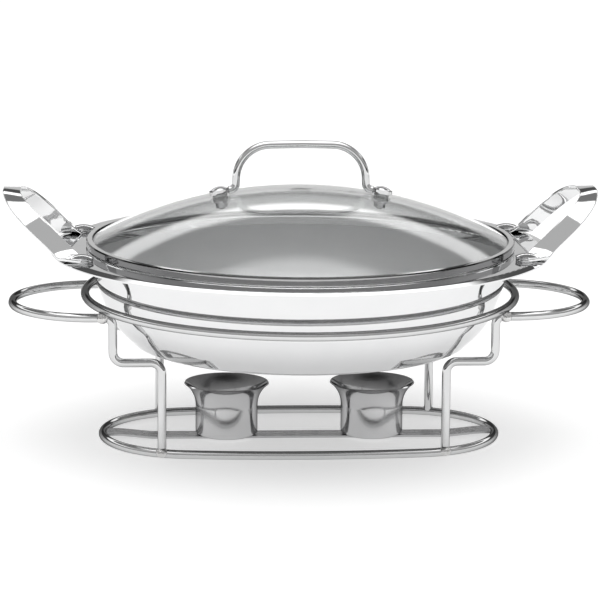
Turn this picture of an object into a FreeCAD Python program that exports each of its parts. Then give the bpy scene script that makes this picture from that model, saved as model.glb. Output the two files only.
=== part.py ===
import FreeCAD, Part

import math
import os

import Sketcher
from FreeCAD import Placement, Rotation, Vector

# A candle-warmed chafing dish: a round steel pan with two riveted strap handles and a domed
# glass lid, resting on a welded wire stand that carries two flared tealight cups.
#
# Frame: millimetres, origin on the table under the pan's axis, +Z up, +X through the right
# handle. The stand, the pan and the lid are symmetric about the XZ and YZ planes.

DIMENSIONS = [
    # Clearance round rivets and screws.
    ("fit_gap", 0.1),
    # Stand wires. Heights are of wire centrelines, and plan sizes run to wire centrelines.
    ("wire", 6.0),
    ("base_half_length", 139.0),
    ("base_half_width", 68.0),
    ("base_end_radius", 63.5),
    ("foot_x", 98.0),
    ("shelf_x", 131.5),
    ("shelf_height", 67.0),
    ("leg_bend", 7.5),
    ("ring_radius", 151.0),
    ("ring_height", 104.5),
    ("loop_reach", 201.5),
    ("loop_bend", 57.0),
    ("wire_joint_x", 138.6),
    ("bead", 4.3),
    # Cup strap and tealight cups.
    ("strap_width", 17.0),
    ("strap_thick", 1.5),
    ("strap_low", 0.5),
    ("strap_rise", 2.4),
    ("cup_x", 51.5),
    ("cup_radius", 22.0),
    ("cup_mouth", 30.0),
    ("cup_height", 37.0),
    ("cup_flare", 6.0),
    ("cup_sheet", 0.9),
    # Pan. Wall points lie on its outer face.
    ("pan_gap", 0.3),
    ("pan_sheet", 1.2),
    ("floor_radius", 117.0),
    ("knee_radius", 133.5),
    ("knee_rise", 16.2),
    ("wall_radius", 143.2),
    ("wall_rise", 42.5),
    ("mouth_radius", 147.0),
    ("flange_rise", 66.0),
    ("flange_flat", 169.0),
    ("flange_radius", 175.0),
    ("flange_drop", 1.1),
    # Lid.
    ("lid_gap", 0.3),
    ("band_radius", 150.0),
    ("band_height", 5.5),
    ("band_lip", 4.2),
    ("band_corner", 0.9),
    ("band_sheet", 0.6),
    ("glass", 4.0),
    ("brim_radius", 145.5),
    ("dome_rise", 35.6),
    # Lid handle and its fastenings, stacked along the dome's normal at each foot.
    ("rod", 5.4),
    ("arch_half", 44.4),
    ("arch_top", 209.2),
    ("arch_bend", 24.0),
    ("foot_bend", 4.5),
    ("tab_x", 56.5),
    ("tab_thick", 2.6),
    ("tab_width", 9.5),
    ("tab_length", 14.0),
    ("gasket", 1.6),
    ("gasket_radius", 5.2),
    ("screw_radius", 2.0),
    ("screw_head", 5.4),
    ("head_height", 2.4),
    ("washer", 1.0),
    ("nut", 3.2),
    ("nut_corner", 4.04),
    # Pan handles: a strap that twists from flat feet to a loop standing on edge.
    ("strap_foot_x", 152.5),
    ("strap_foot_y", 58.0),
    ("strap_sheet", 2.4),
    ("foot_width", 16.0),
    ("arm_width", 12.6),
    ("tip_x", 201.0),
    ("tip_rise", 38.6),
    ("rivet_radius", 3.0),
    ("rivet_head", 8.3),
    ("rivet_dome", 2.6),
]

doc = FreeCAD.newDocument("chafing_dish")
sheet = doc.addObject("Spreadsheet::Sheet", "dims")
for row, (alias, value) in enumerate(DIMENSIONS, start=1):
    sheet.set(f"A{row}", alias)
    sheet.set(f"B{row}", str(value))
    sheet.setAlias(f"B{row}", alias)
doc.recompute()


class Size:
    """A length or angle that carries its value and its spreadsheet expression together."""

    def __init__(self, value, text=None):
        self.value = float(value)
        self.text = text or repr(float(value))

    def combine(self, other, sign, value):
        return Size(value, f"({self.text} {sign} {other.text})")

    def __add__(self, other):
        other = as_size(other)
        return self.combine(other, "+", self.value + other.value)

    def __sub__(self, other):
        other = as_size(other)
        return self.combine(other, "-", self.value - other.value)

    def __mul__(self, other):
        other = as_size(other)
        return self.combine(other, "*", self.value * other.value)

    def __truediv__(self, other):
        other = as_size(other)
        return self.combine(other, "/", self.value / other.value)

    def __neg__(self):
        return as_size(0) - self

    __radd__ = __add__
    __rmul__ = __mul__

    def __rsub__(self, other):
        return as_size(other) - self


def as_size(number):
    return number if isinstance(number, Size) else Size(number)


def root(size):
    return Size(math.sqrt(size.value), f"sqrt({size.text})")


def arc_sine(ratio):
    return Size(math.degrees(math.asin(ratio.value)), f"asin({ratio.text})")


def sine(angle):
    return Size(math.sin(math.radians(angle.value)), f"sin({angle.text})")


def cosine(angle):
    return Size(math.cos(math.radians(angle.value)), f"cos({angle.text})")


def dim(alias):
    return Size(sheet.get(alias), f"dims.{alias}")


def bind(thing, **sizes):
    """Set numeric properties and tie them to the sheet; __ in a name stands for a dot."""
    for name, size in sizes.items():
        thing.setExpression(name.replace("__", "."), as_size(size).text)


def place(thing, x=0, y=0, z=0, axis=(0, 0, 1), angle=0):
    """Put an object at a bound position, turned about the axis by a bound angle in degrees."""
    thing.Placement = Placement(Vector(), Rotation(Vector(*axis), 1))
    bind(thing, Placement__Base__x=x, Placement__Base__y=y, Placement__Base__z=z)
    bind(thing, Placement__Rotation__Angle=angle)
    return thing


# ---- Sketch helpers ----


def origin_plane(body, role):
    for thing in body.Origin.OriginFeatures:
        if thing.Role == role:
            return thing
    raise RuntimeError(f"{body.Name} has no {role}")


def sketch_on(owner, name, plane="XZ_Plane"):
    """A sketch on one of a body's origin planes, or standing free in the XZ plane."""
    if owner is doc:
        sketch = doc.addObject("Sketcher::SketchObject", name)
        sketch.Placement = Placement(Vector(), Rotation(Vector(1, 0, 0), 90))
        return sketch
    sketch = owner.newObject("Sketcher::SketchObject", name)
    sketch.AttachmentSupport = (origin_plane(owner, plane), "")
    sketch.MapMode = "FlatFace"
    return sketch


def constrain(sketch, kind, *items, size=None):
    if size is None:
        return sketch.addConstraint(Sketcher.Constraint(kind, *items))
    size = as_size(size)
    index = sketch.addConstraint(Sketcher.Constraint(kind, *items, size.value))
    sketch.setExpression(f"Constraints[{index}]", size.text)
    return index


def pin(sketch, edge, end, point):
    """Fix one end of an edge at a bound position."""
    constrain(sketch, "DistanceX", -1, 1, edge, end, size=point[0])
    constrain(sketch, "DistanceY", -1, 1, edge, end, size=point[1])


def axis_arc(start, end):
    """An arc between two points whose centre lies on the sketch's vertical axis."""
    (x0, y0), (x1, y1) = [(point[0].value, point[1].value) for point in (start, end)]
    centre = (x1 * x1 + y1 * y1 - x0 * x0 - y0 * y0) / (2 * (y1 - y0))
    radius = math.hypot(x0, y0 - centre)
    angles = sorted([math.atan2(y0 - centre, x0), math.atan2(y1 - centre, x1)])
    return Part.ArcOfCircle(Part.Circle(Vector(0, centre, 0), Vector(0, 0, 1), radius), *angles)


def draw(sketch, points, bends=None, arcs=(), closed=False):
    """Join bound points by straight edges, or by arcs centred on the upright axis where listed.

    bends maps a point's index to the radius that rounds the path there.
    """
    points = [(as_size(x), as_size(y)) for x, y in points]
    count = len(points)
    spans = count if closed else count - 1
    ends = {}
    for index in range(spans):
        start, end = points[index], points[(index + 1) % count]
        if index in arcs:
            sketch.addGeometry(axis_arc(start, end))
            constrain(sketch, "PointOnObject", index, 3, -2)
            clockwise = start[0].value < end[0].value
            ends[index] = (2, 1) if clockwise else (1, 2)
        else:
            corners = [Vector(x.value, y.value, 0) for x, y in (start, end)]
            sketch.addGeometry(Part.LineSegment(*corners))
            ends[index] = (1, 2)
    for index in range(spans):
        following = (index + 1) % spans
        if closed or index + 1 < spans:
            constrain(sketch, "Coincident", index, ends[index][1], following, ends[following][0])
        pin(sketch, index, ends[index][0], points[index])
    if not closed:
        pin(sketch, spans - 1, ends[spans - 1][1], points[-1])
    for index, radius in sorted((bends or {}).items()):
        radius = as_size(radius)
        sketch.fillet((index - 1) % spans, 2, radius.value, True, True)
        bend = max(i for i, edge in enumerate(sketch.Geometry) if edge.TypeId.endswith("ArcOfCircle"))
        constrain(sketch, "Radius", bend, size=radius)
    return sketch


def circle(sketch, x, y, radius):
    x, y, radius = as_size(x), as_size(y), as_size(radius)
    outline = Part.Circle(Vector(x.value, y.value, 0), Vector(0, 0, 1), radius.value)
    index = sketch.addGeometry(outline)
    pin(sketch, index, 3, (x, y))
    constrain(sketch, "Radius", index, size=radius)
    return sketch


# ---- Solid helpers ----


def feature(kind, name, **properties):
    thing = doc.addObject(kind, name)
    for key, value in properties.items():
        setattr(thing, key, value)
    return thing


def cylinder(name, radius, height):
    thing = feature("Part::Cylinder", name)
    bind(thing, Radius=radius, Height=height)
    return thing


def cut(name, base, *tools):
    tool = tools[0] if len(tools) == 1 else compound(name + "_tools", *tools)
    return feature("Part::Cut", name, Base=base, Tool=tool)


def compound(name, *links):
    return feature("Part::Compound", name, Links=list(links))


def ring(name, outer, inner, height):
    """A flat ring that stands on the XY plane."""
    bore = cylinder(name + "_bore", inner, height)
    return cut(name, cylinder(name + "_blank", outer, height), bore)


def revolve(name, profile):
    return feature("Part::Revolution", name, Source=profile, Axis=Vector(0, 0, 1), Angle=360, Solid=True)


def sheet_profile(name, points, bends, thickness):
    """The section of a pressed sheet: a path through its outer face, thickened to its left."""
    path = draw(sketch_on(doc, name + "_path"), points, bends)
    section = feature("Part::Offset2D", name + "_section", Source=path, Fill=True, Mode="Skin")
    bind(section, Value=thickness)
    return section


def solid_of_revolution(name, points, bends=None, arcs=()):
    """A body turned about Z from a closed outline whose last edge runs along the axis."""
    body = doc.addObject("PartDesign::Body", name)
    outline = draw(sketch_on(body, name + "_outline"), points, bends, arcs, closed=True)
    turned = body.newObject("PartDesign::Revolution", name + "_turned")
    turned.Profile = outline
    turned.ReferenceAxis = (outline, ["V_Axis"])
    turned.Angle = 360
    return body


def wire_body(name, spine_plane, profile_plane, spine_points, bends, centre, radius, start=None):
    """A round wire: a circle swept along a bent spine. The circle stands where the spine starts."""
    body = doc.addObject("PartDesign::Body", name)
    spine = draw(sketch_on(body, name + "_spine", spine_plane), spine_points, bends)
    profile = circle(sketch_on(body, name + "_section", profile_plane), *centre, radius)
    if start is not None:
        bind(profile, AttachmentOffset__Base__z=start)
    pipe = body.newObject("PartDesign::AdditivePipe", name + "_pipe")
    pipe.Profile = profile
    pipe.Spine = spine
    return body


nodes = []


def node(thing, label):
    """Register a finished sub-part under its label."""
    thing.Label = label
    nodes.append(thing)
    return thing


# ---- Stand ----

wire_radius = dim("wire") / 2
end_centre_x = dim("base_half_length") - dim("base_end_radius")
leg_y = root(dim("base_end_radius") * dim("base_end_radius")
             - (dim("foot_x") - end_centre_x) * (dim("foot_x") - end_centre_x))
loop_height = dim("ring_height") - dim("wire")


def base_ring():
    """The oval foot ring: tight end arcs joined to long, nearly straight side arcs."""
    length, width, end = dim("base_half_length"), dim("base_half_width"), dim("base_end_radius")
    side_radius = (length.value ** 2 + width.value ** 2 - 2 * length.value * end.value)
    side_radius /= 2 * (width.value - end.value)
    side_centre = width.value - side_radius
    turn = math.atan2(-side_centre, end_centre_x.value)

    body = doc.addObject("PartDesign::Body", "base_ring")
    spine = sketch_on(body, "base_ring_spine", "XY_Plane")
    arcs = [
        (end_centre_x.value, 0, end.value, 0, turn),
        (0, side_centre, side_radius, turn, math.pi - turn),
        (-end_centre_x.value, 0, end.value, math.pi - turn, math.pi + turn),
        (0, -side_centre, side_radius, math.pi + turn, 2 * math.pi - turn),
        (end_centre_x.value, 0, end.value, 2 * math.pi - turn, 2 * math.pi),
    ]
    for x, y, radius, first, last in arcs:
        outline = Part.Circle(Vector(x, y, 0), Vector(0, 0, 1), radius)
        spine.addGeometry(Part.ArcOfCircle(outline, first, last))
    for index in range(4):
        constrain(spine, "Tangent", index, 2, index + 1, 1)
    constrain(spine, "Coincident", 4, 2, 0, 1)
    constrain(spine, "Coincident", 4, 3, 0, 3)
    for edge, end_or_centre, axis in ((0, 3, -1), (1, 3, -2), (2, 3, -1), (0, 1, -1)):
        constrain(spine, "PointOnObject", edge, end_or_centre, axis)
    constrain(spine, "Equal", 1, 3)
    constrain(spine, "Equal", 0, 2)
    constrain(spine, "Radius", 0, size=end)
    constrain(spine, "DistanceX", -1, 1, 0, 1, size=length)
    constrain(spine, "DistanceY", 1, 3, -1, 1, size=side_radius - width.value)

    profile = circle(sketch_on(body, "base_ring_section", "XZ_Plane"), length, 0, wire_radius)
    pipe = body.newObject("PartDesign::AdditivePipe", "base_ring_pipe")
    pipe.Profile = profile
    pipe.Spine = spine
    return place(body, z=wire_radius)


def leg(name, side, front):
    """One leg: up from the foot ring, out along a shelf, up again, and out under the ring."""
    points = [
        (dim("foot_x"), wire_radius + 1),
        (dim("foot_x"), dim("shelf_height")),
        (dim("shelf_x"), dim("shelf_height")),
        (dim("shelf_x"), loop_height),
        (dim("wire_joint_x"), loop_height),
    ]
    bends = {1: dim("leg_bend"), 2: dim("leg_bend"), 3: 5.5}
    bent = wire_body(name + "_wire", "XZ_Plane", "XY_Plane", points, bends,
                     (dim("foot_x"), 0), wire_radius, start=wire_radius + 1)
    place(bent, y=-leg_y if front else leg_y, angle=0 if side > 0 else 180)
    return cut(name, bent, base)


def grip_loop(name, side):
    """A wire grip that leaves the support ring's underside beside two legs and loops outwards."""
    reach = dim("loop_reach")
    points = [
        (dim("wire_joint_x"), -leg_y),
        (reach, -leg_y),
        (reach, leg_y),
        (dim("wire_joint_x"), leg_y),
    ]
    bends = {1: dim("loop_bend"), 2: dim("loop_bend")}
    body = wire_body(name, "XY_Plane", "YZ_Plane", points, bends,
                     (-leg_y, 0), wire_radius, start=dim("wire_joint_x"))
    return place(body, z=loop_height, angle=0 if side > 0 else 180)


def ball(name, x, y, z, radii):
    """A lump of weld metal, wider than it is deep."""
    lump = feature("Part::Ellipsoid", name)
    bind(lump, Radius1=radii[2], Radius2=radii[0], Radius3=radii[1])
    return place(lump, x, y, z)


base = base_ring()
node(base, "base_ring")

support = feature("Part::Torus", "support_ring")
bind(support, Radius1=dim("ring_radius"), Radius2=wire_radius)
node(place(support, z=dim("ring_height")), "support_ring")

corners = [
    ("front_left", -1, True),
    ("front_right", 1, True),
    ("back_left", -1, False),
    ("back_right", 1, False),
]
legs = [node(leg("leg_" + word, side, front), "leg_" + word) for word, side, front in corners]
loops = [
    node(grip_loop("grip_loop_left", -1), "grip_loop_left"),
    node(grip_loop("grip_loop_right", 1), "grip_loop_right"),
]

upper_beads = []
lower_beads = []
for word, side, front in corners:
    outwards = -1 if front else 1
    upper_beads.append(ball("upper_bead_" + word, side * dim("wire_joint_x"), outwards * (leg_y + 0.8),
                            loop_height, (dim("bead"), dim("bead"), dim("bead") - 0.3)))
    lower_beads.append(ball("lower_bead_" + word, side * dim("foot_x"), outwards * (leg_y + 1.6),
                            wire_radius + 0.8, (dim("bead"), dim("bead") - 0.4, dim("bead") - 0.8)))
node(cut("weld_beads_upper", compound("upper_bead_set", *upper_beads), *legs, *loops, support),
     "weld_beads_upper")
node(cut("weld_beads_lower", compound("lower_bead_set", *lower_beads), *legs, base),
     "weld_beads_lower")


# ---- Cup strap and tealight cups ----

strap_end = dim("base_half_length")
strap_path = [
    (-strap_end, dim("strap_low") + dim("strap_rise")),
    (-strap_end + 12, dim("strap_low") + dim("strap_rise")),
    (-strap_end + 35, dim("strap_low")),
    (strap_end - 35, dim("strap_low")),
    (strap_end - 12, dim("strap_low") + dim("strap_rise")),
    (strap_end, dim("strap_low") + dim("strap_rise")),
]
strap_section = sheet_profile("strap", strap_path, {i: 40 for i in (1, 2, 3, 4)}, dim("strap_thick"))
strap_bar = feature("Part::Extrusion", "strap_bar", Base=strap_section, Dir=Vector(0, 1, 0),
                    DirMode="Custom", Solid=True, Symmetric=True)
bind(strap_bar, LengthFwd=dim("strap_width"))
node(cut("cup_strap", strap_bar, base), "cup_strap")

cup_floor = dim("strap_low") + dim("strap_thick")


def cup(name, side):
    """A pressed tealight cup: a straight wall that flares into a wide mouth."""
    height = dim("cup_height")
    outline = [
        (0, 0),
        (dim("cup_radius"), 0),
        (dim("cup_radius"), height - dim("cup_flare")),
        (dim("cup_mouth"), height),
    ]
    section = sheet_profile(name, outline, {1: 3.2, 2: 19.5}, dim("cup_sheet"))
    return place(revolve(name, section), x=side * dim("cup_x"), z=cup_floor)


node(cup("candle_cup_left", -1), "candle_cup_left")
node(cup("candle_cup_right", 1), "candle_cup_right")


# ---- Pan ----

pan_floor = dim("shelf_height") + wire_radius + dim("pan_gap")
flange_under = pan_floor + dim("flange_rise")
flange_top = flange_under + dim("pan_sheet")
rivet_places = [(side, outwards) for side in (-1, 1) for outwards in (-1, 1)]


def food_pan():
    outline = [
        (0, pan_floor),
        (dim("floor_radius"), pan_floor),
        (dim("knee_radius"), pan_floor + dim("knee_rise")),
        (dim("wall_radius"), pan_floor + dim("wall_rise")),
        (dim("mouth_radius"), flange_under),
        (dim("flange_flat"), flange_under),
        (dim("flange_radius"), flange_under - dim("flange_drop")),
    ]
    bends = {1: 6, 2: 50, 3: 60, 4: 3.4, 5: 8}
    section = sheet_profile("food_pan", outline, bends, dim("pan_sheet"))
    holes = []
    for side, outwards in rivet_places:
        hole = cylinder(f"pan_hole_{len(holes)}", dim("rivet_radius") + dim("fit_gap"), 4)
        place(hole, side * dim("strap_foot_x"), outwards * dim("strap_foot_y"), flange_under - 1)
        holes.append(hole)
    return cut("food_pan", revolve("food_pan_turned", section), *holes)


def smooth(share):
    """Ease from 0 to 1."""
    share = min(1.0, max(0.0, share))
    return share * share * (3 - 2 * share)


def strap_section(centre, along, across, width, thickness):
    """The strap's section at one station: a rectangle with rounded corners."""
    normal = along.cross(across)
    radius = 0.3 * thickness
    inset = radius * (1 - math.sqrt(0.5))
    edges = []
    last = None
    for u, v in ((1, 1), (-1, 1), (-1, -1), (1, -1)):
        corner = centre + across * (u * width / 2) + normal * (v * thickness / 2)
        on_face = corner - across * (u * radius)
        on_side = corner - normal * (v * radius)
        middle = corner - across * (u * inset) - normal * (v * inset)
        start, end = (on_side, on_face) if u == v else (on_face, on_side)
        if last is not None:
            edges.append(Part.makeLine(last, start))
        edges.append(Part.Arc(start, middle, end).toShape())
        last = end
    edges.append(Part.makeLine(last, edges[0].firstVertex().Point))
    return Part.Wire(edges)


def strap_foot(rivet, heading, flat):
    """A flat pad, round about the rivet and straight for a short way along the strap."""
    width, thickness = sheet.get("foot_width"), sheet.get("strap_sheet")
    across = Vector(0, 0, 1).cross(heading)
    corners = [rivet + heading * flat - across * (width / 2), rivet - across * (width / 2),
               rivet - heading * (width / 2), rivet + across * (width / 2),
               rivet + heading * flat + across * (width / 2)]
    outline = Part.Wire([
        Part.makeLine(corners[0], corners[1]),
        Part.Arc(corners[1], corners[2], corners[3]).toShape(),
        Part.makeLine(corners[3], corners[4]),
        Part.makeLine(corners[4], corners[0]),
    ])
    pad = Part.Face(outline).extrude(Vector(0, 0, thickness))
    rounded = [edge for edge in pad.Edges
               if (edge.CenterOfMass - rivet).dot(heading) < flat - 0.01
               and abs(edge.tangentAt(edge.FirstParameter).z) < 0.5]
    return pad.makeFillet(0.3 * thickness, rounded)


def strap_loop():
    """A riveted strap handle: flat feet, arms that twist to stand on edge, and a rounded tip."""
    thickness = sheet.get("strap_sheet")
    foot_x, foot_y = sheet.get("strap_foot_x"), sheet.get("strap_foot_y")
    reach, rise = sheet.get("tip_x") - foot_x, sheet.get("tip_rise")
    hole = sheet.get("rivet_radius") + sheet.get("fit_gap")
    heading = Vector(0.77, 0.64, 0).normalize()
    rivet = Vector(foot_x, -foot_y, 0)
    flat = 7.5

    arm = Part.BezierCurve()
    arm.setPoles([
        rivet + heading * flat,
        rivet + heading * (flat + 11),
        Vector(foot_x + 0.14 * reach, -0.60 * foot_y, 0.07 * rise),
        Vector(foot_x + 0.92 * reach, -1.15 * foot_y, 0.82 * rise),
        Vector(foot_x + 1.03 * reach, -0.36 * foot_y, 1.01 * rise),
        Vector(foot_x + reach, 0, rise),
    ])

    stations = []
    count = 32
    for index in range(count + 1):
        travel = 1 - abs(2 * index / count - 1)
        near = 1 if 2 * index <= count else -1
        centre = arm.value(travel)
        along = Vector(*arm.tangent(travel)[0])
        centre = Vector(centre.x, near * centre.y, centre.z + thickness / 2)
        along = Vector(near * along.x, along.y, near * along.z).normalize()
        twist = smooth(travel / 0.36)
        curl = smooth((travel - 0.36) / 0.64)
        across = (Vector(0, 0, 1).cross(along) * (1 - twist)
                  + Vector(-0.62, 0.35 * near, 0.70) * (twist * (1 - curl))
                  + Vector(-1.00, 0, -0.08) * (twist * curl))
        across = (across - along * across.dot(along)).normalize()
        width = sheet.get("foot_width") * (1 - twist) + sheet.get("arm_width") * twist
        stations.append(strap_section(centre, along, across, width, thickness))
    strap = Part.makeLoft(stations, True, False)

    near_foot = strap_foot(rivet, heading, flat)
    far_foot = near_foot.mirror(Vector(), Vector(0, 1, 0))
    faces = strap.Faces + near_foot.Faces + far_foot.Faces
    joined = [face for face in faces if not is_joint(face, rivet, heading, flat)]
    skin = Part.makeShell(joined)
    skin.sewShape()
    strap = Part.makeSolid(skin)
    for outwards in (-1, 1):
        at = Vector(foot_x, outwards * foot_y, -1)
        strap = strap.cut(Part.makeCylinder(hole, thickness + 2, at))
    return strap


def is_joint(face, rivet, heading, flat):
    """Whether a face is the hidden one where a foot meets the arm."""
    joint = rivet + heading * flat
    centre = face.CenterOfMass
    centre = Vector(centre.x, -abs(centre.y), 0)
    return (centre - joint).Length < 0.2


def pan_handle(name, side):
    thing = doc.addObject("Part::Feature", name)
    thing.Shape = strap_loop()
    return place(thing, z=flange_top, angle=0 if side > 0 else 180)


def rivets():
    """Domed rivets through each strap foot and the flange, closed by a flat head beneath."""
    shank, head = dim("rivet_radius"), dim("rivet_head")
    top = dim("strap_sheet")
    outline = [
        (0, top + dim("rivet_dome")),
        (head, top + 0.7),
        (head, top),
        (shank, top),
        (shank, -dim("pan_sheet")),
        (head * 0.62, -dim("pan_sheet")),
        (head * 0.62, -dim("pan_sheet") - 1.4),
        (0, -dim("pan_sheet") - 1.4),
    ]
    placed = []
    for side, outwards in rivet_places:
        body = solid_of_revolution(f"rivet_{len(placed)}", outline, arcs=(0,))
        place(body, side * dim("strap_foot_x"), outwards * dim("strap_foot_y"), flange_top)
        placed.append(body)
    return compound("pan_handle_rivets", *placed)


node(food_pan(), "food_pan")
node(pan_handle("pan_handle_left", -1), "pan_handle_left")
node(pan_handle("pan_handle_right", 1), "pan_handle_right")
node(rivets(), "pan_handle_rivets")


# ---- Lid ----

lid_under = flange_top + dim("lid_gap")
brim_under = lid_under + dim("band_sheet")
brim_top = brim_under + dim("glass")
dome_top = brim_top + dim("dome_rise")
sphere_radius = (dim("brim_radius") * dim("brim_radius") + dim("dome_rise") * dim("dome_rise"))
sphere_radius = sphere_radius / (dim("dome_rise") * 2)
sphere_centre = dome_top - sphere_radius
tab_tilt = arc_sine(dim("tab_x") / sphere_radius)
inner_seat = dim("glass") + dim("fit_gap")


def on_dome(thing, side, offset):
    """Stand an object on the dome at a handle foot, raised along the dome's normal."""
    radius = sphere_radius + offset
    x = side * (radius * sine(tab_tilt))
    z = sphere_centre + radius * cosine(tab_tilt)
    return place(thing, x=x, z=z, axis=(0, 1, 0), angle=side * tab_tilt)


def glass_dome():
    edge = dim("band_radius") - dim("band_sheet") - 0.2
    outline = [
        (0, dome_top),
        (dim("brim_radius"), brim_top),
        (edge, brim_top),
        (edge, brim_under),
        (dim("brim_radius") - 0.8, brim_under),
        (0, dome_top - dim("glass")),
    ]
    dome = solid_of_revolution("glass_blank", outline, bends={2: 1.2, 3: 1.2}, arcs=(0, 4))
    holes = []
    for side in (-1, 1):
        hole = cylinder(f"glass_hole_{len(holes)}", dim("screw_radius") + 0.6, dim("glass") * 2)
        holes.append(on_dome(hole, side, -1.5 * dim("glass")))
    return cut("lid_glass", dome, *holes)


def rim_band():
    """A pressed channel that wraps the glass edge."""
    outer, sheet_thick, corner = dim("band_radius"), dim("band_sheet"), dim("band_corner")
    top, lip = lid_under + dim("band_height"), dim("band_radius") - dim("band_lip")
    inner = outer - sheet_thick
    fold = corner - sheet_thick * (2 - root(as_size(2)))
    outline = [
        (lip - 1, lid_under),
        (outer - corner, lid_under),
        (outer, lid_under + corner),
        (outer, top - corner),
        (outer - corner, top),
        (lip, top),
        (lip, top - sheet_thick),
        (inner - fold, top - sheet_thick),
        (inner, top - sheet_thick - fold),
        (inner, lid_under + sheet_thick + fold),
        (inner - fold, lid_under + sheet_thick),
        (lip - 1, lid_under + sheet_thick),
    ]
    return solid_of_revolution("lid_rim_band", outline)


def handle_arch():
    """A round-rod arch whose ends turn outwards and flatten into screwed tabs."""
    tab_level = sphere_radius + dim("gasket") + dim("tab_thick") / 2
    tab_x = tab_level * sine(tab_tilt)
    tab_z = sphere_centre + tab_level * cosine(tab_tilt)
    slope = sine(tab_tilt) / cosine(tab_tilt)
    points = [
        (0, dim("arch_top")),
        (dim("arch_half"), dim("arch_top") - 0.8),
        (dim("arch_half") + 1.2, tab_z + (tab_x - dim("arch_half") - 1.2) * slope),
        (tab_x - 7, tab_z + 7 * slope),
    ]
    bends = {1: dim("arch_bend"), 2: dim("foot_bend")}
    body = wire_body("lid_handle", "XZ_Plane", "YZ_Plane", points, bends,
                     (0, dim("arch_top")), dim("rod") / 2)

    collar = dim("rod") / 2 + 0.03
    sections = []
    for back, radius in ((7.4, collar), (6.9, collar), (5.2, dim("tab_thick") * 0.45)):
        section = circle(sketch_on(body, f"taper_{len(sections)}", "YZ_Plane"), 0, 0, radius)
        section.AttachmentOffset = Placement(Vector(), Rotation(Vector(1, 0, 0), 1))
        bind(section, AttachmentOffset__Base__z=tab_x - back, AttachmentOffset__Base__y=tab_z + back * slope,
             AttachmentOffset__Rotation__Angle=tab_tilt)
        sections.append(section)
    taper = body.newObject("PartDesign::AdditiveLoft", "taper")
    taper.Profile = sections[0]
    taper.Sections = [(section, "") for section in sections[1:]]
    taper.Ruled = True

    half = dim("tab_length") / 2 - dim("tab_width") / 2
    radius = dim("tab_width") / 2
    outline = sketch_on(body, "tab_outline", "XY_Plane")
    ends = [(half.value, -math.pi / 2, math.pi / 2), (-half.value, math.pi / 2, 3 * math.pi / 2)]
    for x, first, last in ends:
        end = Part.Circle(Vector(x, 0, 0), Vector(0, 0, 1), radius.value)
        outline.addGeometry(Part.ArcOfCircle(end, first, last))
    for y, x in ((radius.value, half.value), (-radius.value, -half.value)):
        outline.addGeometry(Part.LineSegment(Vector(x, y, 0), Vector(-x, y, 0)))
    for first, first_end, last, last_end in ((0, 2, 2, 1), (2, 2, 1, 1), (1, 2, 3, 1), (3, 2, 0, 1)):
        constrain(outline, "Tangent", first, first_end, last, last_end)
    constrain(outline, "Radius", 0, size=radius)
    pin(outline, 0, 3, (half, 0))
    constrain(outline, "DistanceX", -1, 1, 1, 3, size=-half)
    outline.AttachmentOffset = Placement(Vector(), Rotation(Vector(0, 1, 0), 1))
    bind(outline, AttachmentOffset__Base__x=tab_x, AttachmentOffset__Base__z=tab_z,
         AttachmentOffset__Rotation__Angle=tab_tilt)
    tab = body.newObject("PartDesign::Pad", "tab_pad")
    tab.Profile = outline
    tab.Midplane = True
    bind(tab, Length=dim("tab_thick"))
    doc.recompute()

    hole_radius = dim("screw_radius") + dim("fit_gap")
    hole_sketch = circle(sketch_on(body, "tab_hole_sketch", "XY_Plane"), 0, 0, hole_radius)
    hole_sketch.AttachmentOffset = Placement(Vector(), Rotation(Vector(0, 1, 0), 1))
    bind(hole_sketch, AttachmentOffset__Base__x=tab_x, AttachmentOffset__Base__z=tab_z,
         AttachmentOffset__Rotation__Angle=tab_tilt)
    hole = body.newObject("PartDesign::Pocket", "tab_hole")
    hole.Profile = hole_sketch
    hole.Midplane = True
    bind(hole, Length=dim("tab_thick") * 2)
    doc.recompute()

    mirrored = body.newObject("PartDesign::Mirrored", "lid_handle_mirrored")
    halves = ("lid_handle_pipe", "taper", "tab_pad", "tab_hole")
    mirrored.Originals = [doc.getObject(name) for name in halves]
    mirrored.MirrorPlane = (origin_plane(body, "YZ_Plane"), [""])
    body.Tip = mirrored
    return body


def screw(name, side):
    shank = dim("screw_radius")
    seat = dim("gasket") + dim("tab_thick")
    bottom = -(inner_seat + dim("gasket") + dim("washer") + dim("nut") + 1)
    outline = [
        (0, seat + dim("head_height")),
        (dim("screw_head"), seat + 0.8),
        (dim("screw_head"), seat),
        (shank, seat),
        (shank, bottom),
        (0, bottom),
    ]
    return on_dome(solid_of_revolution(name, outline, arcs=(0,)), side, 0)


def stacked(name, side, level, outer, height):
    """A flat ring round the screw, its lower face at a given level above the dome."""
    return on_dome(ring(name, outer, dim("screw_radius") + dim("fit_gap"), height), side, level)


def outer_gasket(name, side):
    return stacked(name, side, as_size(0), dim("gasket_radius"), dim("gasket"))


def inner_gasket(name, side):
    level = -(inner_seat + dim("gasket"))
    return stacked(name, side, level, dim("gasket_radius"), dim("gasket"))


def washer(name, side):
    level = -(inner_seat + dim("gasket") + dim("washer"))
    return stacked(name, side, level, dim("gasket_radius") - 0.2, dim("washer"))


def nut(name, side):
    blank = feature("Part::Prism", name + "_blank", Polygon=6)
    bind(blank, Circumradius=dim("nut_corner"), Height=dim("nut"))
    bore = cylinder(name + "_bore", dim("screw_radius"), dim("nut"))
    level = -(inner_seat + dim("gasket") + dim("washer") + dim("nut"))
    return on_dome(cut(name, blank, bore), side, level)


def pair(label, make):
    return node(compound(label, make(label + "_a", -1), make(label + "_b", 1)), label)


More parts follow.
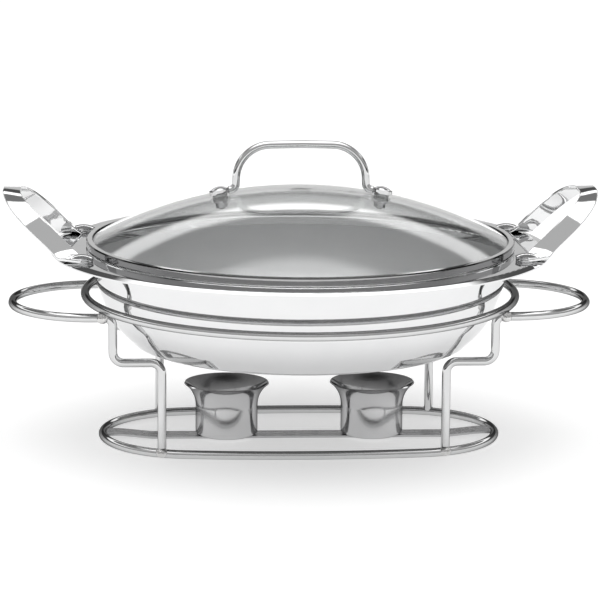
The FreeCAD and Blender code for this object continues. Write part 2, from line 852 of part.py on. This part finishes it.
node(glass_dome(), "lid_glass")
node(rim_band(), "lid_rim_band")
node(handle_arch(), "lid_handle")
pair("lid_handle_screws", screw)
pair("lid_outer_gaskets", outer_gasket)
pair("lid_inner_gaskets", inner_gasket)
pair("lid_handle_washers", washer)
pair("lid_handle_nuts", nut)


# ---- Check and write ----

doc.recompute()
for thing in doc.Objects:
    broken = [word for word in ("Invalid", "Error") if word in thing.State]
    if broken:
        raise RuntimeError(f"{thing.Name}: {broken}")

os.makedirs("parts", exist_ok=True)
for thing in nodes:
    shape = thing.Shape
    if shape.isNull() or not shape.isValid() or not shape.Solids:
        raise RuntimeError(f"{thing.Label}: no valid solid")
    shape.exportStep(f"parts/{thing.Label}.step")
    print(f"{thing.Label:22s} {len(shape.Solids)} solid(s) {shape.Volume:10.1f} mm3")
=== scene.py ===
import math

import bpy
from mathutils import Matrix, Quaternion, Vector


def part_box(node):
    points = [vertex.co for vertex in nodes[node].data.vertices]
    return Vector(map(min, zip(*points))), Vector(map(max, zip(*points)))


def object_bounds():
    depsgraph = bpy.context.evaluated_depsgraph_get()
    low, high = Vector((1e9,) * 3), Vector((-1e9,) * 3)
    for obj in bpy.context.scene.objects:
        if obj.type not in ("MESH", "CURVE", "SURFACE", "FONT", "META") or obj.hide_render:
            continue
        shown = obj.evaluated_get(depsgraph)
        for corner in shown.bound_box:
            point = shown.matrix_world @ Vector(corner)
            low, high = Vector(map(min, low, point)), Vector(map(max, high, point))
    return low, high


# The looks of a candle-warmed chafing dish: mirror-polished pan and lid fittings, plated wire
# stand, semi-bright tealight cups and a clear glass dome, in a plain pale studio.

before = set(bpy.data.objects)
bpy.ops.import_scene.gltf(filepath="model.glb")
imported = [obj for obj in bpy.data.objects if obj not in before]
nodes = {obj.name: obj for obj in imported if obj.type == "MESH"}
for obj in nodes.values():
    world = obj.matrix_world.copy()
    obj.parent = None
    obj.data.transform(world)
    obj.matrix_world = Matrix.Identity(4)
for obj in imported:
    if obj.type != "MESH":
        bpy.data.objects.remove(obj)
cad_low, cad_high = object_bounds()


# ---- Node graphs ----


class Graph:
    """A material's or world's node graph, built with short calls."""

    def __init__(self, owner):
        owner.use_nodes = True
        self.owner = owner
        self.tree = owner.node_tree
        self.tree.nodes.clear()

    def add(self, kind, inputs=None, **settings):
        """A shader node whose inputs are fixed values or other nodes' outputs."""
        made = self.tree.nodes.new("ShaderNode" + kind)
        for name, value in settings.items():
            setattr(made, name, value)
        for name, value in (inputs or {}).items():
            if isinstance(value, bpy.types.NodeSocket):
                self.tree.links.new(value, made.inputs[name])
            else:
                made.inputs[name].default_value = value
        return made

    def math(self, operation, first, second=0.0, third=0.0):
        return self.add("Math", {0: first, 1: second, 2: third}, operation=operation).outputs[0]

    def spread(self, value, low, high, out_low, out_high):
        """Map a value from one range to another, held inside the second."""
        inputs = {"Value": value, "From Min": low, "From Max": high,
                  "To Min": out_low, "To Max": out_high}
        return self.add("MapRange", inputs).outputs[0]

    def noise(self, where, scale, detail=2.0, rough=0.5, stretch=(1, 1, 1)):
        """Noise at a scale in cells per metre, drawn out along any axis by a stretch over 1."""
        squeeze = [1 / s for s in stretch]
        mapped = self.add("Mapping", {"Vector": where, "Scale": squeeze}).outputs[0]
        inputs = {"Vector": mapped, "Scale": scale, "Detail": detail, "Roughness": rough}
        return self.add("TexNoise", inputs).outputs["Fac"]

    def place(self, centre=(0, 0, 0)):
        """Positions on the object, in metres, measured from a centre."""
        where = self.add("TexCoord").outputs["Object"]
        return self.add("VectorMath", {0: where, 1: centre}, operation="SUBTRACT").outputs[0]

    def turned(self, centre=(0, 0, 0)):
        """Positions as (radius, height, 0) about a vertical axis, so a pattern runs in rings."""
        apart = self.add("SeparateXYZ", {0: self.place(centre)}).outputs
        squares = self.math("ADD", self.math("MULTIPLY", apart[0], apart[0]),
                            self.math("MULTIPLY", apart[1], apart[1]))
        radius = self.math("SQRT", squares)
        return self.add("CombineXYZ", {0: radius, 1: apart[2]}).outputs[0]

    def blend(self, factor, first, second):
        """A fixed colour turning into another, by a factor from 0 to 1."""
        return self.mix_colour(factor, (*first, 1), (*second, 1))

    def mix(self, factor, first, second):
        """A value turning into another, by a factor from 0 to 1."""
        return self.add("Mix", {0: factor, 2: first, 3: second}, data_type="FLOAT").outputs[0]

    def mix_colour(self, factor, first, second):
        """A colour turning into another, by a factor from 0 to 1."""
        return self.add("Mix", {0: factor, 6: first, 7: second}, data_type="RGBA").outputs[2]

    def ramp(self, value, stops):
        """A grey scale given by stops of (value, brightness)."""
        ramp = self.add("ValToRGB", {0: value})
        while len(ramp.color_ramp.elements) < len(stops):
            ramp.color_ramp.elements.new(0.5)
        for stop, (position, brightness) in zip(ramp.color_ramp.elements, stops):
            stop.position = position
            stop.color = (brightness, brightness, brightness, 1)
        return ramp.outputs[0]

    def bump(self, height, distance, under=None):
        """Relief of a height pattern, in metres, over another relief."""
        inputs = {"Height": height, "Distance": distance, "Strength": 1.0}
        if under is not None:
            inputs["Normal"] = under
        return self.add("Bump", inputs).outputs[0]

    def metal(self, edge=0.85, **inputs):
        """A bare metal surface. A low edge brightness darkens it where it turns away."""
        return self.finish(Metallic=1.0, Specular_Tint=(edge, edge, edge, 1), **inputs)

    def finish(self, **inputs):
        """Close the graph with a principled shader. Input names have underscores for spaces."""
        named = {name.replace("_", " "): value for name, value in inputs.items()}
        shader = self.add("BsdfPrincipled", named)
        self.add("OutputMaterial", {"Surface": shader.outputs[0]})
        return self.owner


def material(name):
    """A new material's empty node graph."""
    return Graph(bpy.data.materials.new(name))


def mirror_roughness(graph, cloud, hairs, base):
    """Roughness of a polish: a base, with smudges and hairline wear added."""
    smudge = graph.spread(cloud, 0.52, 0.72, 0.0, 0.05)
    wear = graph.spread(hairs, 0.62, 0.74, 0.0, 0.06)
    return graph.math("ADD", graph.math("ADD", smudge, wear), base)


# ---- Materials ----


def polished_steel(name):
    """Mirror-polished sheet: faint polishing lines, soft waviness, smudges and hairline wear."""
    graph = material(name)
    where = graph.place()
    waves = graph.noise(where, 9, detail=1)
    cloud = graph.noise(where, 30, detail=4, rough=0.6)
    hairs = graph.noise(where, 2600, detail=2, stretch=(26, 3, 3))
    roughness = mirror_roughness(graph, cloud, hairs, 0.04)
    relief = graph.bump(hairs, 0.0000016, graph.bump(waves, 0.00012))
    colour = graph.blend(cloud, [0.817, 0.8213, 0.8256], [0.86, 0.86, 0.86258])
    return graph.metal(Base_Color=colour, Roughness=roughness, Normal=relief)


def pan_steel(name):
    """The pan: mirror-polished outside, with a satin cooking surface and a dull underside."""
    # The cooking surface starts a drop below the rim. Slopes are upward parts of the normal.
    rim_drop, floor_slope, underside_slope = 0.008, 0.1, -0.93
    graph = material(name)
    where = graph.place()
    waves = graph.noise(where, 9, detail=1)
    cloud = graph.noise(where, 30, detail=4, rough=0.6)
    hairs = graph.noise(where, 2600, detail=2, stretch=(26, 3, 3))
    lines = graph.noise(graph.turned(), 2600, detail=2)

    # The cooking surface faces up below the rim, or faces the middle of the pan.
    face = graph.add("NewGeometry").outputs["Normal"]
    towards = graph.add("VectorMath", {0: where, 1: (1, 1, 0)}, operation="MULTIPLY").outputs[0]
    outwards = graph.add("VectorMath", {0: face, 1: towards}, operation="DOT_PRODUCT").outputs["Value"]
    faces_in = graph.math("LESS_THAN", outwards, 0.0)
    upright = graph.add("SeparateXYZ", {0: face}).outputs[2]
    height = graph.add("SeparateXYZ", {0: where}).outputs[2]
    faces_up = graph.math("GREATER_THAN", upright, floor_slope)
    below_rim = graph.math("LESS_THAN", height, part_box("food_pan")[1].z - rim_drop)
    inside = graph.math("MULTIPLY", graph.math("MAXIMUM", faces_in, faces_up), below_rim)

    underneath = graph.math("LESS_THAN", upright, underside_slope)

    mirror = mirror_roughness(graph, cloud, hairs, 0.035)
    satin = graph.spread(lines, 0.3, 0.7, 0.50, 0.62)
    roughness = graph.mix(underneath, graph.mix(inside, mirror, satin), 0.42)
    relief = graph.bump(lines, 0.0000012, graph.bump(waves, 0.00010))
    outside_colour = graph.blend(cloud, [0.77, 0.775, 0.78], [0.83, 0.83, 0.833])
    inside_colour = graph.blend(cloud, [0.84, 0.84, 0.845], [0.90, 0.90, 0.905])
    dull_colour = graph.blend(lines, [0.20, 0.20, 0.20], [0.27, 0.27, 0.27])
    colour = graph.mix_colour(inside, outside_colour, inside_colour)
    colour = graph.mix_colour(underneath, colour, dull_colour)
    return graph.metal(Base_Color=colour, Roughness=roughness, Normal=relief)


def band_steel(name):
    """The pressed rim band: a bright lip, a 45 degree shoulder painted near black as shade, and a
    turned wall painted darker grey as shade.
    """
    # Slopes are upward parts of the normal.
    wall_slope, shoulder_slope, slope_tolerance = 0.4, 0.7, 0.2
    graph = material(name)
    where = graph.place()
    lines = graph.noise(graph.turned(), 5200, detail=2)
    cloud = graph.noise(where, 60, detail=3, rough=0.6)
    upright = graph.add("SeparateXYZ", {0: graph.add("NewGeometry").outputs["Normal"]}).outputs[2]
    wall_shade_mask = graph.math("LESS_THAN", graph.math("ABSOLUTE", upright), wall_slope)
    shoulder_shade_mask = graph.math("COMPARE", upright, shoulder_slope, slope_tolerance)
    # The lip keeps the steel's own colour. The shoulder and wall colours are painted shade.
    lip_colour = graph.blend(cloud, [0.82, 0.82, 0.82], [0.88, 0.88, 0.88])
    wall_painted_shade = graph.blend(cloud, [0.42, 0.42, 0.425], [0.47, 0.47, 0.475])
    shoulder_painted_shade = graph.blend(cloud, [0.03, 0.03, 0.03], [0.05, 0.05, 0.05])
    colour = graph.mix_colour(shoulder_shade_mask, graph.mix_colour(wall_shade_mask, lip_colour, wall_painted_shade), shoulder_painted_shade)
    roughness = graph.spread(cloud, 0.35, 0.75, 0.04, 0.10)
    relief = graph.bump(lines, 0.000001)
    return graph.metal(Base_Color=colour, Roughness=roughness, Normal=relief)


def plated_wire(name):
    """Bright plating over drawn wire: slight orange peel and small dull patches."""
    graph = material(name)
    where = graph.place()
    peel = graph.noise(where, 700, detail=2)
    cloud = graph.noise(where, 55, detail=3, rough=0.6)
    roughness = graph.spread(cloud, 0.35, 0.75, 0.03, 0.09)
    relief = graph.bump(peel, 0.000004)
    colour = graph.blend(cloud, [0.70, 0.70, 0.70], [0.651, 0.6545, 0.658])
    return graph.metal(edge=0.15, Base_Color=colour, Roughness=roughness, Normal=relief)


def weld_metal(name):
    """Plated weld beads: rippled, with darker heat tint in the hollows."""
    graph = material(name)
    where = graph.place()
    lumps = graph.noise(where, 420, detail=3, rough=0.6)
    ripple = graph.noise(where, 1500, detail=2)
    relief = graph.bump(ripple, 0.00006, graph.bump(lumps, 0.0006))
    colour = graph.blend(lumps, [0.56, 0.55, 0.54], [0.84, 0.84, 0.84])
    roughness = graph.spread(lumps, 0.3, 0.7, 0.22, 0.1)
    return graph.metal(Base_Color=colour, Roughness=roughness, Normal=relief)


def drawn_cup_steel(name, centre):
    """Deep-drawn cup: semi-bright steel with rings from the press and light draw marks."""
    graph = material(name)
    where = graph.place(centre)
    rings = graph.noise(graph.turned(centre), 1500, detail=3)
    marks = graph.noise(where, 420, detail=2, stretch=(1, 1, 30))
    cloud = graph.noise(where, 70, detail=3)
    roughness = graph.spread(cloud, 0.3, 0.7, 0.09, 0.16)
    relief = graph.bump(marks, 0.00001, graph.bump(rings, 0.000008))
    colour = graph.blend(cloud, [0.62, 0.62, 0.625], [0.70, 0.70, 0.705])
    return graph.metal(edge=0.3, Base_Color=colour, Roughness=roughness, Normal=relief)


def satin_strap_steel(name):
    """Flat strip with a fine grain along its length."""
    graph = material(name)
    where = graph.place()
    grain = graph.noise(where, 2200, detail=3, stretch=(60, 1, 1))
    cloud = graph.noise(where, 40, detail=3)
    roughness = graph.spread(grain, 0.3, 0.7, 0.2, 0.32)
    relief = graph.bump(grain, 0.000012)
    colour = graph.blend(cloud, [0.50, 0.50, 0.51], [0.60, 0.60, 0.605])
    return graph.metal(Base_Color=colour, Roughness=roughness, Normal=relief)


def fastener_steel(name):
    """Turned and pressed heads: semi-bright steel with tiny scuffs."""
    graph = material(name)
    where = graph.place()
    scuffs = graph.noise(where, 900, detail=3, rough=0.65)
    cloud = graph.noise(where, 160, detail=2)
    roughness = graph.spread(scuffs, 0.45, 0.75, 0.07, 0.2)
    relief = graph.bump(scuffs, 0.00001)
    colour = graph.blend(cloud, [0.74, 0.74, 0.75], [0.84, 0.84, 0.845])
    return graph.metal(Base_Color=colour, Roughness=roughness, Normal=relief)


def clear_glass(name):
    """Tempered glass: near-perfect gloss, faint waviness, a few smudges."""
    graph = material(name)
    where = graph.place()
    waves = graph.noise(where, 14, detail=1)
    cloud = graph.noise(where, 26, detail=4, rough=0.6)
    roughness = graph.spread(cloud, 0.5, 0.75, 0.0, 0.025)
    relief = graph.bump(waves, 0.00004)
    colour = graph.blend(cloud, [0.975, 0.985, 0.982], [0.985, 0.992, 0.99])
    return graph.finish(Base_Color=colour, Roughness=roughness, Normal=relief, IOR=1.5,
                        Transmission_Weight=1.0)


def silicone(name):
    """Cloudy silicone gasket with a soft sheen."""
    graph = material(name)
    where = graph.place()
    grain = graph.noise(where, 1800, detail=3)
    roughness = graph.spread(grain, 0.3, 0.7, 0.38, 0.52)
    colour = graph.blend(grain, [0.74, 0.75, 0.75], [0.84, 0.85, 0.85])
    relief = graph.bump(grain, 0.00002)
    return graph.finish(Base_Color=colour, Roughness=roughness, Normal=relief, IOR=1.42,
                        Transmission_Weight=0.35)


def dress(node_names, made):
    """Put one material on every slot of each named node."""
    for name in node_names:
        slots = nodes[name].data.materials
        if not slots:
            slots.append(made)
        for index in range(len(slots)):
            slots[index] = made


def centre_of(name):
    """The middle of a node's box."""
    low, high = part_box(name)
    return (low + high) / 2


wires = [name for name in nodes if name.startswith(("leg_", "grip_loop_"))]
dress(wires + ["base_ring", "support_ring", "lid_handle"], plated_wire("plated_wire"))
dress(["weld_beads_upper", "weld_beads_lower"], weld_metal("weld_metal"))
dress(["cup_strap"], satin_strap_steel("satin_strap_steel"))
for cup in ("candle_cup_left", "candle_cup_right"):
    dress([cup], drawn_cup_steel(cup + "_steel", centre_of(cup)))
dress(["food_pan"], pan_steel("pan_steel"))
dress(["lid_rim_band"], band_steel("band_steel"))
dress(["pan_handle_left", "pan_handle_right"], polished_steel("polished_steel"))
dress(["pan_handle_rivets", "lid_handle_screws", "lid_handle_washers", "lid_handle_nuts"],
      fastener_steel("fastener_steel"))
dress(["lid_glass"], clear_glass("clear_glass"))
dress(["lid_outer_gaskets", "lid_inner_gaskets"], silicone("silicone"))


# ---- Studio ----


def floor():
    """A wide matt floor with a glow of its own, so that shadows stay faint."""
    reach = 4.2
    mesh = bpy.data.meshes.new("floor")
    corners = [(-reach, -reach, 0), (reach, -reach, 0), (reach, reach, 0), (-reach, reach, 0)]
    mesh.from_pydata(corners, [], [(0, 1, 2, 3)])
    plane = bpy.data.objects.new("floor", mesh)
    bpy.context.scene.collection.objects.link(plane)
    graph = material("pale_floor")
    cloud = graph.noise(graph.place(), 1.5, detail=2)
    colour = graph.blend(cloud, [0.62, 0.62, 0.62], [0.64, 0.64, 0.64])
    mesh.materials.append(graph.finish(Base_Color=colour, Roughness=0.9, Emission_Strength=0.49,
                                       Emission_Color=(1, 1, 1, 1)))


def softbox(name, place, aim, size, power):
    """A soft rectangular light at a place, turned towards a point. Power is in watts."""
    light = bpy.data.lights.new(name, "AREA")
    light.shape = "RECTANGLE"
    light.size, light.size_y = size
    light.energy = power
    lamp = bpy.data.objects.new(name, light)
    lamp.location = place
    lamp.rotation_mode = "QUATERNION"
    lamp.rotation_quaternion = (Vector(aim) - Vector(place)).to_track_quat("-Z", "Y")
    bpy.context.scene.collection.objects.link(lamp)


def surroundings():
    """A pale room: a grey front wall with a dark foot, a banded back wall and a bright ceiling."""
    # Stops are (upward part of the direction, brightness). Directions below the horizon take the
    # first stop, and the floor hides all but the shallowest of them.
    below, black, grey, lit = 0.9, 0.003, 0.285, 1.0
    world = bpy.data.worlds.new("studio")
    bpy.context.scene.world = world
    graph = Graph(world)
    direction = graph.add("SeparateXYZ", {0: graph.add("TexCoord").outputs["Generated"]}).outputs
    behind = graph.spread(direction[1], -0.2, 0.2, 0.0, 1.0)
    front_wall = [(0.0, below), (0.002, black), (0.10, black), (0.13, grey), (0.76, grey),
                  (0.78, lit), (1.0, lit)]
    back_wall = [(0.0, below), (0.002, 0.42), (0.20, 0.38), (0.24, 0.05), (0.41, 0.06),
                 (0.44, lit), (0.53, lit), (0.56, 0.12), (0.82, 0.12), (0.86, lit), (1.0, lit)]
    colour = graph.mix_colour(behind, graph.ramp(direction[2], front_wall),
                              graph.ramp(direction[2], back_wall))
    shade = graph.add("Background", {"Color": colour, "Strength": 1.72})
    graph.add("OutputWorld", {"Surface": shade.outputs[0]})


def aim_camera():
    """A long lens, a little above the rim and slightly to the left of the front."""
    elevation, yaw, roll = math.radians(11.5), math.radians(-3.4), math.radians(0.45)
    distance = 2.15
    target = Vector((0, 0, 0.4644 * cad_high.z))
    back = Vector((math.sin(yaw) * math.cos(elevation), -math.cos(yaw) * math.cos(elevation),
                   math.sin(elevation)))
    data = bpy.data.cameras.new("camera")
    data.lens = 183.2
    data.sensor_width = 36
    data.clip_start, data.clip_end = 0.05, 50
    camera = bpy.data.objects.new("camera", data)
    camera.location = target + back * distance
    camera.rotation_mode = "QUATERNION"
    camera.rotation_quaternion = (-back).to_track_quat("-Z", "Y") @ Quaternion((0, 0, 1), roll)
    bpy.context.scene.collection.objects.link(camera)
    bpy.context.scene.camera = camera


floor()
surroundings()
softbox("overhead", place=(0, 0, 2.4), aim=(0, 0, 0.1), size=(1.8, 1.8), power=7)
aim_camera()
bpy.context.scene.view_settings.view_transform = "Standard"
